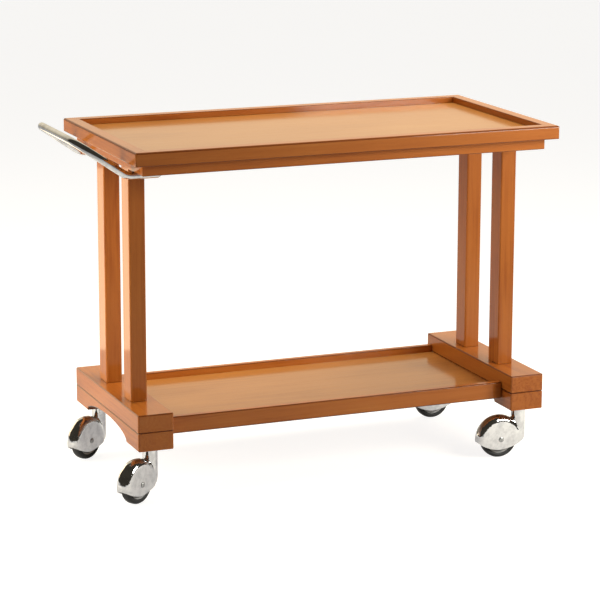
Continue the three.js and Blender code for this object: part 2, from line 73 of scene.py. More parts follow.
class Wire:
    """A shader socket that can stand in sums; node() adds any other node to its tree."""

    def __init__(self, tree, socket=None):
        self.tree = tree
        self.socket = socket

    def node(self, kind, settings=None, inputs=None, output=0):
        """A new node, with its settings made first, and a wire from one of its outputs."""
        made = self.tree.nodes.new("ShaderNode" + kind)
        for key, value in (settings or {}).items():
            setattr(made, key, value)
        for key, value in (inputs or {}).items():
            self.feed(made.inputs[key], value)
        return Wire(self.tree, made.outputs[output])

    def feed(self, socket, value):
        """Sends a wire, or sets a plain number, colour or direction, on a node's socket."""
        if isinstance(value, Wire):
            self.tree.links.new(value.socket, socket)
        else:
            socket.default_value = value

    def sum(self, operation, first, second):
        return self.node("Math", {"operation": operation}, {0: first, 1: second})

    def __add__(self, other):
        return self.sum("ADD", self, other)

    def __sub__(self, other):
        return self.sum("SUBTRACT", self, other)

    def __mul__(self, other):
        return self.sum("MULTIPLY", self, other)

    def __rsub__(self, other):
        return self.sum("SUBTRACT", other, self)

    __radd__ = __add__
    __rmul__ = __mul__

    def between(self, low, high):
        """0 below low, 1 above high, and a smooth rise between them."""
        return self.node(
            "MapRange",
            {"interpolation_type": "SMOOTHSTEP"},
            {0: self, 1: low, 2: high, 3: 0.0, 4: 1.0},
        )

    def blend(self, first, second):
        """The first colour where this is 0 and the second where it is 1."""
        return self.node("Mix", {"data_type": "RGBA"}, {0: self, 6: first, 7: second}, output=2)

    def noise(self, place, scale, detail=3.0, roughness=0.5, distortion=0.0):
        """Smooth mottling, with a change about every 1 / scale metres."""
        return self.node(
            "TexNoise",
            {},
            {
                "Vector": place,
                "Scale": scale,
                "Detail": detail,
                "Roughness": roughness,
                "Distortion": distortion,
            },
        )

    def sized(self, place, scale):
        """A place stretched by its own amount along each axis."""
        return self.node("Mapping", {}, {"Vector": place, "Scale": scale})


def new_finish(name, **settings):
    """A material, its shader and a wire in its tree. The settings go on the shader's own sockets."""
    finish = bpy.data.materials.new(name)
    finish.use_nodes = True
    shader = finish.node_tree.nodes["Principled BSDF"]
    for key, value in settings.items():
        shader.inputs[key.replace("_", " ")].default_value = value
    return finish, shader, Wire(finish.node_tree)


def lacquered_wood(name, grain, stain, contrast=0.5, haze=0.08):
    """Stained wood under gloss lacquer. The grain runs along axis 0, 1 or 2, and the stain is its
    dark, middle, light and pore shades."""
    dark, middle, light, pore = (shade(*one) for one in stain)
    finish, shader, wire = new_finish(
        name, Coat_Weight=1.0, Coat_Roughness=haze, Coat_IOR=1.32, Specular_IOR_Level=0.1
    )
    place = wire.node("TexCoord", output="Object")

    def stretched(along, across):
        return wire.sized(place, tuple(along if axis == grain else across for axis in range(3)))

    figure = wire.noise(stretched(*GROWTH_RINGS), 1.0, 2.0, 0.45, 0.5)
    rings = wire.node("Math", {"operation": "SINE"}, {0: figure * RING_TURNS}) * 0.5 + 0.5
    streak = wire.noise(stretched(*STREAKS), 1.0, 4.0, 0.6)
    cloud = wire.noise(stretched(*CLOUDS), 1.0, 2.0)
    vessel = wire.noise(stretched(*PORES), 1.0, 2.0, 0.6).between(0.56, 0.72)
    # how light the wood is: rings and streaks by the contrast asked for, clouds as they are
    tone = rings * 0.28 * contrast + (streak - 0.5) * 1.5 * contrast + (cloud - 0.5) * 0.9 + 0.42
    colour = tone.between(0.0, 0.55).blend(dark, middle)
    colour = tone.between(0.5, 1.15).blend(colour, light)
    colour = (vessel * 0.42 * contrast).blend(colour, pore)
    arris = wire.node("Attribute", {"attribute_name": "arris"}, output="Fac")
    colour = (arris * 0.75).blend(colour, pore)  # painted shade: a dark line drawn on the rounds along top and bottom edges
    wire.feed(shader.inputs["Base Color"], colour)
    wire.feed(shader.inputs["Roughness"], 0.34 + streak * 0.2 + vessel * 0.1)
    bump = wire.node(
        "Bump", {}, {"Strength": 0.25, "Distance": 0.0002, "Height": streak * 0.5 - vessel * 0.5}
    )
    wire.feed(shader.inputs["Normal"], bump)
    return finish


walnut = [lacquered_wood(f"walnut_stain_{axis}", "xyz".index(axis), WALNUT_STAIN) for axis in "xyz"]


def make_piece(name, work, finish, body, nodes, crease=35.0, even=False):
    """The finished piece from its mesh, riding on its body and standing for its CAD nodes."""
    for face in work.faces:
        face.smooth = True
    mesh = bpy.data.meshes.new(name)
    work.to_mesh(mesh)
    work.free()
    mesh.set_sharp_from_angle(angle=math.radians(crease))
    mesh.materials.append(finish)
    piece = bpy.data.objects.new(name, mesh)
    bpy.context.scene.collection.objects.link(piece)
    if even:  # broad faces stay flat right up to their rounded arrises
        level = piece.modifiers.new("level", "WEIGHTED_NORMAL")
        level.keep_sharp = True
        plain(piece)
    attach(piece, body)
    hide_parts(*nodes)
    return piece


def plain(piece):
    """Puts the result of a piece's modifiers into its mesh and takes the modifiers off."""
    depsgraph = bpy.context.evaluated_depsgraph_get()
    result = bpy.data.meshes.new_from_object(
        piece.evaluated_get(depsgraph), preserve_all_data_layers=True, depsgraph=depsgraph
    )
    piece.modifiers.clear()
    piece.data = result


def cut(piece, tool_mesh, operation):
    """Joins, keeps or takes away the tool's shape from the piece."""
    mesh = bpy.data.meshes.new("tool")
    tool_mesh.to_mesh(mesh)
    tool_mesh.free()
    tool = bpy.data.objects.new("tool", mesh)
    bpy.context.scene.collection.objects.link(tool)
    saw = piece.modifiers.new("saw", "BOOLEAN")
    saw.operation = operation
    saw.solver = "EXACT"
    saw.object = tool
    plain(piece)
    bpy.data.objects.remove(tool)


def rounded_column(nodes):
    """An upright block round the nodes, with its four long edges rounded."""
    corners = [Vector(corner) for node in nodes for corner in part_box(node)]
    low = Vector([min(c[axis] for c in corners) - SAW_CLEARANCE for axis in range(3)])
    high = Vector([max(c[axis] for c in corners) + SAW_CLEARANCE for axis in range(3)])
    work = bmesh.new()
    near, far = [], []
    for quarter, (x, y) in enumerate(
        ((high.x, high.y), (low.x, high.y), (low.x, low.y), (high.x, low.y))
    ):
        inward = (-1 if x == high.x else 1, -1 if y == high.y else 1)
        for step in range(CORNER_STEPS + 1):
            angle = math.radians(90 * quarter + 90 / CORNER_STEPS * step)
            spot = (
                x + CORNER_ROUND * (inward[0] + math.cos(angle)),
                y + CORNER_ROUND * (inward[1] + math.sin(angle)),
            )
            near.append(work.verts.new((*spot, low.z)))
            far.append(work.verts.new((*spot, high.z)))
    work.faces.new(near)
    work.faces.new(far)
    for index in range(len(near)):
        work.faces.new([near[index - 1], near[index], far[index], far[index - 1]])
    bmesh.ops.recalc_face_normals(work, faces=work.faces)
    return work


def eased(node, finish, within=()):
    """A board cut to its CAD node's shape, its sharp arrises sanded off with a fine round. Upright
    corners of the whole made by the nodes in within are rounded first."""
    work = bmesh.new()
    work.from_mesh(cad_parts[node].data)
    bmesh.ops.remove_doubles(work, verts=work.verts, dist=WELD)
    if within:
        blank = bpy.data.objects.new("blank", bpy.data.meshes.new("blank"))
        bpy.context.scene.collection.objects.link(blank)
        work.to_mesh(blank.data)
        cut(blank, rounded_column(within), "INTERSECT")
        work.clear()
        work.from_mesh(blank.data)
        bpy.data.objects.remove(blank)
        bmesh.ops.remove_doubles(work, verts=work.verts, dist=WELD)
    bmesh.ops.dissolve_limit(
        work, angle_limit=math.radians(FLAT_WITHIN), verts=work.verts, edges=work.edges
    )
    bend = math.radians(ARRIS_BEND)
    sharp = [edge for edge in work.edges if edge.is_manifold and edge.calc_face_angle(0.0) > bend]
    bmesh.ops.bevel(
        work, geom=sharp, offset=ARRIS, segments=2, profile=0.5, affect="EDGES", clamp_overlap=True
    )
    work.normal_update()
    # marks the rounds along top and bottom edges for the painted dark shade line; upright corners
    # stay unmarked
    wear_and_edge_shade = work.loops.layers.float.new("arris")
    for face in work.faces:
        sloping = ROUNDS_FACE[0] < abs(face.normal.z) < ROUNDS_FACE[1]
        for loop in face.loops:
            loop[wear_and_edge_shade] = 1.0 if sloping else 0.0
    return make_piece(f"{node}_board", work, finish, "chassis", [node], even=True)


for end in ENDS:
    for level in ("upper", "lower"):
        eased(f"foot_{level}_{end}", walnut[1], within=[f"foot_{level}_{end}"])

# ---- Posts --------------------------------------------------------------------------------------
# A pair of square hardwood posts stands on each foot and carries the tray frame.
# They are planed, rounded on their long edges, and glued on beech dowels at both ends.
DOWEL_FLUTES = 12
FLUTE_FACETS = 4
FLUTE_DEPTH = 0.00035
DOWEL_CHAMFER = 0.0012


def turned(profile, steps, ripple=0.0, ripples=0):
    """A closed form turned about the Z axis from (radius, height) points. Ripples are flutes that
    run up it, ripple deep."""
    work = bmesh.new()
    rows = []
    for radius, height in profile:
        if radius == 0.0:
            rows.append([work.verts.new((0.0, 0.0, height))])
            continue
        row = []
        for step in range(steps):
            angle = 2 * math.pi * step / steps
            reach = radius - ripple * (0.5 + 0.5 * math.cos(ripples * angle))
            row.append(work.verts.new((reach * math.cos(angle), reach * math.sin(angle), height)))
        rows.append(row)
    pairs = list(zip(rows, rows[1:]))
    if len(rows[0]) > 1:  # a ring's section closes on itself
        pairs.append((rows[-1], rows[0]))
    for low, high in pairs:
        for step in range(steps):
            ahead = (step + 1) % steps
            corners = [
                low[step % len(low)],
                low[ahead % len(low)],
                high[ahead % len(high)],
                high[step % len(high)],
            ]
            work.faces.new(list(dict.fromkeys(corners)))
    bmesh.ops.recalc_face_normals(work, faces=work.faces)
    return work


def middle_of(node):
    """The middle of a CAD node's box."""
    low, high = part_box(node)
    return (Vector(low) + Vector(high)) / 2


def beech_wood():
    """Pale wood, planed and left bare, with its fibres upright."""
    finish, shader, wire = new_finish("plain_beech", Specular_IOR_Level=0.4)
    place = wire.node("TexCoord", output="Object")
    fibre = wire.noise(wire.sized(place, (900.0, 900.0, 40.0)), 1.0, 3.0)
    wire.feed(shader.inputs["Base Color"], fibre.blend(shade(196, 158, 108), shade(232, 204, 158)))
    wire.feed(shader.inputs["Roughness"], 0.6 + fibre * 0.2)
    return finish


beech = beech_wood()
for end in ENDS:
    for side in SIDES:
        eased(f"post_{side}_{end}", walnut[2])
        for level in ("lower", "upper"):
            dowel_node = f"post_dowel_{level}_{side}_{end}"
            low, high = (Vector(corner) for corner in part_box(dowel_node))
            radius = (high.x - low.x) / 2
            dowel = turned(
                [
                    (0.0, low.z),
                    (radius - DOWEL_CHAMFER, low.z),
                    (radius, low.z + DOWEL_CHAMFER),
                    (radius, high.z - DOWEL_CHAMFER),
                    (radius - DOWEL_CHAMFER, high.z),
                    (0.0, high.z),
                ],
                DOWEL_FLUTES * FLUTE_FACETS,
                FLUTE_DEPTH,
                DOWEL_FLUTES,
            )
            centre = middle_of(dowel_node)
            bmesh.ops.translate(dowel, verts=dowel.verts, vec=(centre.x, centre.y, 0.0))
            make_piece(f"{dowel_node}_fluted", dowel, beech, "chassis", [dowel_node])

# ---- Shelf --------------------------------------------------------------------------------------
# Two rails run between the feet, and a veneered board lies between them, sunk to make a tray.
# The rails are stained like the feet; the board's veneer is paler, with its grain lengthwise.
VENEER_STAIN = ((146, 90, 38), (170, 112, 54), (182, 128, 68), (112, 62, 22))
veneer = lacquered_wood("lengthwise_veneer", 0, VENEER_STAIN, contrast=0.4, haze=0.13)
for side in SIDES:
    eased(f"shelf_rail_{side}", walnut[0])
eased("shelf_panel", veneer)

# ---- Sub-frame under the tray -------------------------------------------------------------------
# Long apron rails and two wide cross bearers are screwed up under the tray frame.
# The posts are dowelled into the bearers, and the handle is screwed to the left one.
for side in SIDES:
    eased(f"apron_rail_{side}", walnut[0])
for end in ENDS:
    eased(f"apron_bearer_{end}", walnut[1])

# ---- Tray ---------------------------------------------------------------------------------------
# Four solid rails, mitred and glued at the corners, hold a veneered board in their rebate.
# The rails' top outer edges are rounded and the whole tray is lacquered as one.
tray_rails = [f"tray_rail_{place}" for place in (*SIDES, *ENDS)]
for rail in tray_rails:
    eased(rail, walnut[0 if rail in tray_rails[:2] else 1], within=tray_rails)
eased("tray_panel", veneer)

# ---- Push handle --------------------------------------------------------------------------------
# One length of steel tube, bent to a U that rises from under the left end, and chromed.
# Its two ends are pressed flat in a die and drilled for the screws.
FIT = 0.0003  # left between pieces that touch
TUBE = 0.018
ARM_SPACING = 0.35
ARM_BEND = 0.04
GRIP_BEND = 0.065
HANDLE_TILT = math.radians(34.7)
PRESSED_LENGTH = 0.036
PRESSED_RUN = 0.016  # in which the round tube goes flat
PRESSED_STEPS = 12
PRESSED_THICKNESS = 0.0045
PRESSED_WIDTH = 0.025
PRESSED_SQUARENESS = 5  # the power that shapes a pressed section, over the 2 of a round one
TAB_CORNER = 0.005  # round on the corners of the pressed tabs
TAB_STEPS = 6
TAB_NARROWING = 0.32  # share of its width that a tab loses at its end to that round
TAB_MIDDLE = 0.02  # from the end to a section ring halfway along the tab
RING_GAP = 0.004  # between the section rings next to where the pressing starts and ends
TUBE_FACETS = 40
BEND_STEPS = {ARM_BEND: 12, GRIP_BEND: 24}
SCREW_HOLE = 0.005
HOLE_FACETS = 32
DRILL_REACH = 0.02


def chrome_plate(name, roughness, smear, ripple, painted_mottle_grey, blotch):
    """Bright plating: a mirror with faint orange peel. Its colour is darkened in blotches as a
    painted mottled reflection, and the same blotches are rougher where hands and dust dull it.
    """
    finish, shader, wire = new_finish(name, Metallic=1.0)
    place = wire.node("TexCoord", output="Object")
    patch = wire.noise(place, blotch, 5.0, 0.6)
    speck = wire.noise(place, 900.0, 2.0)
    # painted reflection: the colour goes grey in blotches to draw a mottled look of the surroundings
    # in the plating
    colour = patch.between(0.4, 0.66).blend(shade(240, 242, 245), shade(painted_mottle_grey, painted_mottle_grey + 2, painted_mottle_grey + 6))
    wire.feed(shader.inputs["Base Color"], colour)
    wear_and_edge_shade = roughness + patch.between(0.4, 0.75) * smear + speck * 0.02
    wire.feed(shader.inputs["Roughness"], wear_and_edge_shade)
    peel = wire.noise(place, 150.0, 2.0) * 0.25 + wire.noise(place, 45.0, 2.0)
    bump = wire.node("Bump", {}, {"Strength": ripple, "Distance": 0.002, "Height": peel})
    wire.feed(shader.inputs["Normal"], bump)
    return finish


def rounded_corner(before, corner, after, radius, steps):
    """The points of an arc that takes the place of a corner."""
    back = (before - corner).normalized()
    ahead = (after - corner).normalized()
    half = back.angle(ahead) / 2
    centre = corner + (back + ahead).normalized() * (radius / math.sin(half))
    entry = corner + back * (radius / math.tan(half))
    axis = ahead.cross(back).normalized()
    turn = math.pi - 2 * half
    return [
        centre + Matrix.Rotation(turn * step / steps, 3, axis) @ (entry - centre)
        for step in range(steps + 1)
    ]


def rise(value, low, high):
    """0 up to low, 1 from high, and a smooth rise between them."""
    share = min(max((value - low) / (high - low), 0.0), 1.0)
    return share * share * (3 - 2 * share)


tube_low, tube_high = (Vector(corner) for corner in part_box("push_handle"))
bearer_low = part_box("apron_bearer_left")[0]
tip_x = tube_high.x
arm_z = bearer_low[2] - FIT - TUBE / 2
grip_x = tube_low.x + TUBE / 2
bend_x = bearer_low[0] - FIT - ARM_BEND * math.tan(HANDLE_TILT / 2)
grip_z = arm_z + (bend_x - grip_x) * math.tan(HANDLE_TILT)
press_end = tip_x - PRESSED_LENGTH
press_start = press_end - PRESSED_RUN


def handle_path():
    """The middle line of the tube, from one pressed end round the grip to the other."""
    y = ARM_SPACING / 2
    corners = [
        Vector((tip_x, -y, arm_z)),
        Vector((bend_x, -y, arm_z)),
        Vector((grip_x, -y, grip_z)),
        Vector((grip_x, y, grip_z)),
        Vector((bend_x, y, arm_z)),
        Vector((tip_x, y, arm_z)),
    ]
    tab_turn = math.pi / 2 / TAB_STEPS
    arm = [tip_x - TAB_CORNER * (1 - math.cos(tab_turn * step)) for step in range(TAB_STEPS + 1)]
    arm += [tip_x - TAB_MIDDLE, press_end + RING_GAP]
    arm += [press_end - PRESSED_RUN * step / PRESSED_STEPS for step in range(PRESSED_STEPS + 1)]
    arm += [press_start - RING_GAP]
    path = [Vector((x, -y, arm_z)) for x in arm]
    for index, bend in enumerate((ARM_BEND, GRIP_BEND, GRIP_BEND, ARM_BEND)):
        path += rounded_corner(*corners[index:index + 3], bend, BEND_STEPS[bend])
    return path + [Vector((x, y, arm_z)) for x in reversed(arm)]


def handle_ring(point, across, up):
    """The tube's section at a point of its path: round, or pressed flat against the bearer."""
    radius = TUBE / 2
    pressed = rise(point.x, press_start, press_end) if point.x > bend_x else 0.0
    power = 2 / (2 + PRESSED_SQUARENESS * pressed)
    corner = max(0.0, TAB_CORNER - (tip_x - point.x)) / TAB_CORNER
    narrower = 1 - TAB_NARROWING * (1 - math.sqrt(max(0.0, 1 - corner**2))) if pressed else 1.0
    ring = []
    for step in range(TUBE_FACETS):
        angle = 2 * math.pi * step / TUBE_FACETS
        wide, high = math.cos(angle), math.sin(angle)
        wide = math.copysign(abs(wide) ** power, wide)
        high = math.copysign(abs(high) ** power, high)
        spot = point + across * (radius * wide) + up * (radius * high)
        if pressed:
            wider = (1 + pressed * (PRESSED_WIDTH / TUBE - 1)) * narrower
            thinner = 1 + pressed * (PRESSED_THICKNESS / TUBE - 1)
            spot.y = point.y + (spot.y - point.y) * wider
            spot.z = arm_z + radius - (arm_z + radius - spot.z) * thinner
        ring.append(spot)
    return ring


def handle_mesh():
    """The tube as one closed skin over the section rings along its path."""
    path = handle_path()
    work = bmesh.new()
    rows = []
    across = Vector((0.0, 1.0, 0.0))
    for index, point in enumerate(path):
        ahead = path[min(index + 1, len(path) - 1)] - path[max(index - 1, 0)]
        ahead.normalize()
        across = (across - ahead * across.dot(ahead)).normalized()
        ring = handle_ring(point, across, ahead.cross(across))
        rows.append([work.verts.new(spot) for spot in ring])
    for near, far in zip(rows, rows[1:]):
        for step in range(TUBE_FACETS):
            following = (step + 1) % TUBE_FACETS
            work.faces.new([near[step], near[following], far[following], far[step]])
    work.faces.new(rows[0])
    work.faces.new(rows[-1])
    bmesh.ops.recalc_face_normals(work, faces=work.faces)
    return work


def drill(piece, places, radius):
    """Cuts round holes through a piece, each from one point to another."""
    bits = bmesh.new()
    for start, end in places:
        turn = (end - start).to_track_quat("Z", "Y").to_matrix().to_4x4()
        bmesh.ops.create_cone(
            bits,
            cap_ends=True,
            segments=HOLE_FACETS,
            radius1=radius,
            radius2=radius,
            depth=(end - start).length,
            matrix=Matrix.Translation((start + end) / 2) @ turn,
        )
    cut(piece, bits, "DIFFERENCE")


bright_chrome = chrome_plate("bright_chrome", 0.05, 0.06, 0.08, 205, 22.0)
handle = make_piece(
    "push_handle_tube", handle_mesh(), bright_chrome, "chassis", ["push_handle"]
)
screw_nodes = [f"handle_screw_{side}_{place}" for side in SIDES for place in ("inner", "outer")]
reach = Vector((0, 0, DRILL_REACH))
holes = [(middle_of(node) - reach, middle_of(node) + reach) for node in screw_nodes]
drill(handle, holes, SCREW_HOLE / 2)

# ---- Handle screws ------------------------------------------------------------------------------
# Four zinc-plated pan-head wood screws with a cross recess go up through the pressed ends of the
# tube into the bearer. One pattern makes the screw, and it is repeated at each drilled hole.
SCREW_HEAD = 0.009
SCREW_HEAD_HEIGHT = 0.0026
SCREW_SHANK = 0.0044
SCREW_TIP = 0.3  # radius at its tip, as a share of the shank
SCREW_FACETS = 32
SHANK_FACETS = 20
# each step down the head: its share of the height, and how much of the width it leaves
HEAD_STEPS = ((0.25, 1.0), (0.35, 0.93), (0.25, 0.78), (0.15, 0.55))
RECESS_LENGTH = 0.5  # of the cross recess, as a share of the head, and so is its width
RECESS_WIDTH = 0.13
RECESS_MIDDLE = 0.95  # how far down the head it lies, as a share of the head's height


def zinc_plate():
    """Bright zinc with a fine crystal spangle."""
    finish, shader, wire = new_finish("bright_zinc", Metallic=1.0)
    place = wire.node("TexCoord", output="Object")
    grain = wire.node("TexVoronoi", {}, {"Vector": place, "Scale": 420.0}, output="Color")
    spangle = wire.node("RGBToBW", {}, {0: grain})
    patch = wire.noise(place, 60.0, 4.0)
    colour = (spangle * 0.5 + patch * 0.5).blend(shade(158, 161, 163), shade(205, 207, 207))
    wire.feed(shader.inputs["Base Color"], colour)
    wire.feed(shader.inputs["Roughness"], 0.26 + spangle * 0.12 + patch * 0.1)
    return finish


class Pattern:
    """A Geometry Nodes tree with named inputs, built one node at a time."""

    def __init__(self, name):
        self.tree = bpy.data.node_groups.new(name, "GeometryNodeTree")
        self.tree.interface.new_socket("Geometry", in_out="INPUT", socket_type="NodeSocketGeometry")
        self.tree.interface.new_socket("Geometry", in_out="OUTPUT", socket_type="NodeSocketGeometry")
        self.start = self.tree.nodes.new("NodeGroupInput")
        self.end = self.tree.nodes.new("NodeGroupOutput")

    def size(self, name):
        """A named input, and the socket that carries it into the tree."""
        self.tree.interface.new_socket(name, in_out="INPUT", socket_type="NodeSocketFloat")
        return self.start.outputs[name]

    def node(self, kind, settings=None, inputs=None):
        """A new node. A list among its inputs links each of its sockets to the same input."""
        made = self.tree.nodes.new(kind)
        for key, value in (settings or {}).items():
            setattr(made, key, value)
        for key, value in (inputs or {}).items():
            for one in value if isinstance(value, list) else [value]:
                if isinstance(one, bpy.types.NodeSocket):
                    self.tree.links.new(one, made.inputs[key])
                else:
                    made.inputs[key].default_value = one
        return made

    def product(self, first, second):
        made = self.node("ShaderNodeMath", {"operation": "MULTIPLY"}, {0: first, 1: second})
        return made.outputs[0]

    def vector(self, x=0.0, y=0.0, z=0.0):
        return self.node("ShaderNodeCombineXYZ", {}, {0: x, 1: y, 2: z}).outputs[0]

    def modify(self, piece, **sizes):
        """Sets the pattern on a piece, each size by its socket's identifier."""
        modifier = piece.modifiers.new("pattern", "NODES")
        modifier.node_group = self.tree
        for item in self.tree.interface.items_tree:
            if item.in_out == "INPUT" and item.name in sizes:
                modifier[item.identifier] = sizes[item.name]


def screw_pattern(finish):
    """Pan-head screws whose heads hang under the points of the mesh and whose shanks stand up."""
    pattern = Pattern("pan_head_screws")
    head = pattern.size("Head")
    height = pattern.size("Height")
    shank = pattern.size("Shank")
    length = pattern.size("Length")
    disc = pattern.node(
        "GeometryNodeMeshCircle",
        {"fill_type": "NGON"},
        {"Vertices": SCREW_FACETS, "Radius": pattern.product(head, 0.5)},
    ).outputs["Mesh"]
    shape, top = disc, None
    for drop, width in HEAD_STEPS:
        depth = pattern.product(height, -drop)
        inputs = {
            "Mesh": shape,
            "Offset": pattern.vector(z=depth),
            "Offset Scale": 1.0,
            "Individual": False,
        }
        if top:
            inputs["Selection"] = top
        risen = pattern.node("GeometryNodeExtrudeMesh", {"mode": "FACES"}, inputs)
        top = risen.outputs["Top"]
        shape = pattern.node(
            "GeometryNodeScaleElements",
            {"domain": "FACE"},
            {"Geometry": risen.outputs["Mesh"], "Selection": top, "Scale": width},
        ).outputs["Geometry"]
    skin = pattern.node("GeometryNodeJoinGeometry", {}, {"Geometry": [shape, disc]}).outputs[0]
    closed = pattern.node(
        "GeometryNodeMergeByDistance", {}, {"Geometry": skin, "Distance": WELD}
    ).outputs["Geometry"]
    length_across = pattern.product(head, RECESS_LENGTH)
    width_across = pattern.product(head, RECESS_WIDTH)
    bar = pattern.node(
        "GeometryNodeMeshCube", {}, {"Size": pattern.vector(length_across, width_across, height)}
    ).outputs["Mesh"]
    slots = [
        pattern.node(
            "GeometryNodeTransform",
            {},
            {
                "Geometry": bar,
                "Translation": pattern.vector(z=pattern.product(height, -RECESS_MIDDLE)),
                "Rotation": (0.0, 0.0, math.radians(turn)),
            },
        ).outputs["Geometry"]
        for turn in (45, 135)
    ]
    recessed = pattern.node(
        "GeometryNodeMeshBoolean",
        {"operation": "DIFFERENCE", "solver": "EXACT"},
        {"Mesh 1": closed, "Mesh 2": slots},
    ).outputs["Mesh"]
    rod = pattern.node(
        "GeometryNodeMeshCone",
        {},
        {
            "Vertices": SHANK_FACETS,
            "Radius Top": pattern.product(shank, SCREW_TIP),
            "Radius Bottom": pattern.product(shank, 0.5),
            "Depth": length,
        },
    ).outputs["Mesh"]
    one = pattern.node("GeometryNodeJoinGeometry", {}, {"Geometry": [recessed, rod]}).outputs[0]
    many = pattern.node(
        "GeometryNodeInstanceOnPoints",
        {},
        {"Points": pattern.start.outputs["Geometry"], "Instance": one},
    ).outputs["Instances"]
    real = pattern.node("GeometryNodeRealizeInstances", {}, {"Geometry": many}).outputs["Geometry"]
    made = pattern.node("GeometryNodeSetMaterial", {}, {"Geometry": real, "Material": finish})
    pattern.tree.links.new(made.outputs["Geometry"], pattern.end.inputs[0])
    return pattern


zinc = zinc_plate()
seats = bpy.data.meshes.new("screw_seats")
places = [(*middle_of(node).xy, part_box(node)[0][2] + SCREW_HEAD_HEIGHT) for node in screw_nodes]
seats.from_pydata(places, [], [])
screws = bpy.data.objects.new("handle_screws", seats)
bpy.context.scene.collection.objects.link(screws)
screw_low, screw_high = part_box(screw_nodes[0])
screw_pattern(zinc).modify(
    screws,
    Head=SCREW_HEAD,
    Height=SCREW_HEAD_HEIGHT,
    Shank=SCREW_SHANK,
    Length=screw_high[2] - screw_low[2] - SCREW_HEAD_HEIGHT,
)
plain(screws)
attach(screws, "chassis")
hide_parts(*screw_nodes)

# ---- Castor sockets and stems -------------------------------------------------------------------
# A pressed zinc sleeve with a small flange is knocked up into each foot, and the castor's plain
# stem turns in it.
SLEEVE = 0.0076  # its radius outside
BORE = 0.0062  # and inside
LEAD_IN = 0.0006  # chamfer at the mouth of the bore
CHAMFER = 0.0005
FLANGE_ROUND = 0.0004
STEM_TIP = 0.0015
STEM_CROWN = 0.0004
TURNED_FACETS = 40


def castor_place(place):
    """The castor's own frame: z = 0 at the foot's underside, and the wheel trailing along +X."""
    pivot = middle_of(f"castor_stem_{place}")
    axle = middle_of(f"castor_axle_{place}")
    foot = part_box(f"foot_lower_{place.split('_')[1]}")[0][2]
    trail = math.atan2(axle.y - pivot.y, axle.x - pivot.x)
    return Matrix.Translation((pivot.x, pivot.y, foot)) @ Matrix.Rotation(trail, 4, "Z")


def put(work, matrix):
    """Moves a form that is still being made."""
    bmesh.ops.transform(work, matrix=matrix, verts=work.verts)
    return work


PLACES = [f"{side}_{end}" for side in SIDES for end in ENDS]
for place in PLACES:
    own = castor_place(place)
    lift = own.translation.z
    low, high = (Vector(corner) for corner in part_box(f"castor_socket_{place}"))
    flange = (high.x - low.x) / 2
    bottom, top = low.z - lift, high.z - lift
    socket = turned(
        [
            (BORE, bottom + LEAD_IN),
            (BORE + LEAD_IN, bottom),
            (flange - FLANGE_ROUND, bottom),
            (flange, bottom + FLANGE_ROUND),
            (flange, -2 * FIT),
            (flange - FLANGE_ROUND, -FIT),
            (SLEEVE, -FIT),
            (SLEEVE, top - CHAMFER),
            (SLEEVE - CHAMFER, top),
            (BORE, top),
        ],
        TURNED_FACETS,
    )
    make_piece(
        f"castor_socket_{place}_sleeve",
        put(socket, own),
        zinc,
        "chassis",
        [f"castor_socket_{place}"],
    )
    low, high = (Vector(corner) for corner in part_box(f"castor_stem_{place}"))
    radius = (high.x - low.x) / 2
    bottom, top = low.z - lift, high.z - lift
    stem = turned(
        [
            (0.0, bottom),
            (radius - CHAMFER, bottom),
            (radius, bottom + CHAMFER),
            (radius, top - 2 * STEM_TIP),
            (radius - CHAMFER, top - STEM_TIP),
            (radius - STEM_TIP, top - STEM_CROWN),
            (0.0, top),
        ],
        TURNED_FACETS,
    )
    make_piece(
        f"castor_stem_{place}_rod",
        put(stem, own),
        zinc,
        f"castor_{place}",
        [f"castor_stem_{place}"],
    )

# ---- Castor hoods -------------------------------------------------------------------------------
# A die-cast hood wraps each wheel: a rounded drum that flows into the upright neck the stem sits
# in, hollow underneath, with a swept lower edge. It is polished and chromed.
HOOD_WIDTH = 0.038
HOOD_WALL = 0.0026
HOOD_SHOULDER = 0.8  # how far the drum's side rounds over, as a share of half its width
SHOULDER_STEPS = 16
DRUM_FACETS = 120
WHEEL_ROOM = 0.0099  # between the tread and the inside of the hood
NECK = 0.035
NECK_TOP = -0.0024
NECK_ROUND = 0.002
NECK_FACETS = 96
AXLE_HOLE = 0.0086
STEM_HOLE = 0.0116
STEM_HOLE_DEPTH = 0.0243
AXLE_DRILL = 0.03  # how far the drill reaches to each side of the wheel's middle
CASTING_GRAIN = 0.0013  # size of the faces that round the casting over
CASTING_PASSES = 14
SKIRT_DROP = 0.025  # from the axle down to the skirt's lowest point
# the skirt's edge from the front to the neck: distance ahead of the axle, and share of the drop
SKIRT_EDGE = ((0.044, 0.58), (0.010, 1.0), (-0.022, 0.86), (-0.048, 0.5))
SKIRT_FRONT = 0.08  # share of the drop at which the edge leaves the front
SKIRT_STEPS = 10
NECK_SKIRT = 0.002  # height of the edge over the axle, at the neck
# the block that is kept: how far past the casting, over the foot's underside, behind, to each side
SAW_MARGIN = 0.004
SAW_TOP = 0.01
SAW_BACK = 0.035
SAW_HALF = 0.04


def along_y(work):
    """Turns a form made about the Z axis so that its axis lies along Y."""
    return put(work, Matrix.Rotation(math.radians(-90), 4, "X"))


def drum(half_width, crown, centre):
    """A fat disc on the wheel's axis, its rim rounded over like a tyre and crown from the axis."""
    shoulder = half_width * HOOD_SHOULDER
    profile = [(0.0, -half_width)]
    for step in range(SHOULDER_STEPS + 1):
        angle = -math.pi / 2 + math.pi * step / SHOULDER_STEPS
        reach = crown - shoulder + shoulder * math.cos(angle)
        profile.append((reach, half_width * math.sin(angle)))
    profile.append((0.0, half_width))
    return put(along_y(turned(profile, DRUM_FACETS)), Matrix.Translation(centre))


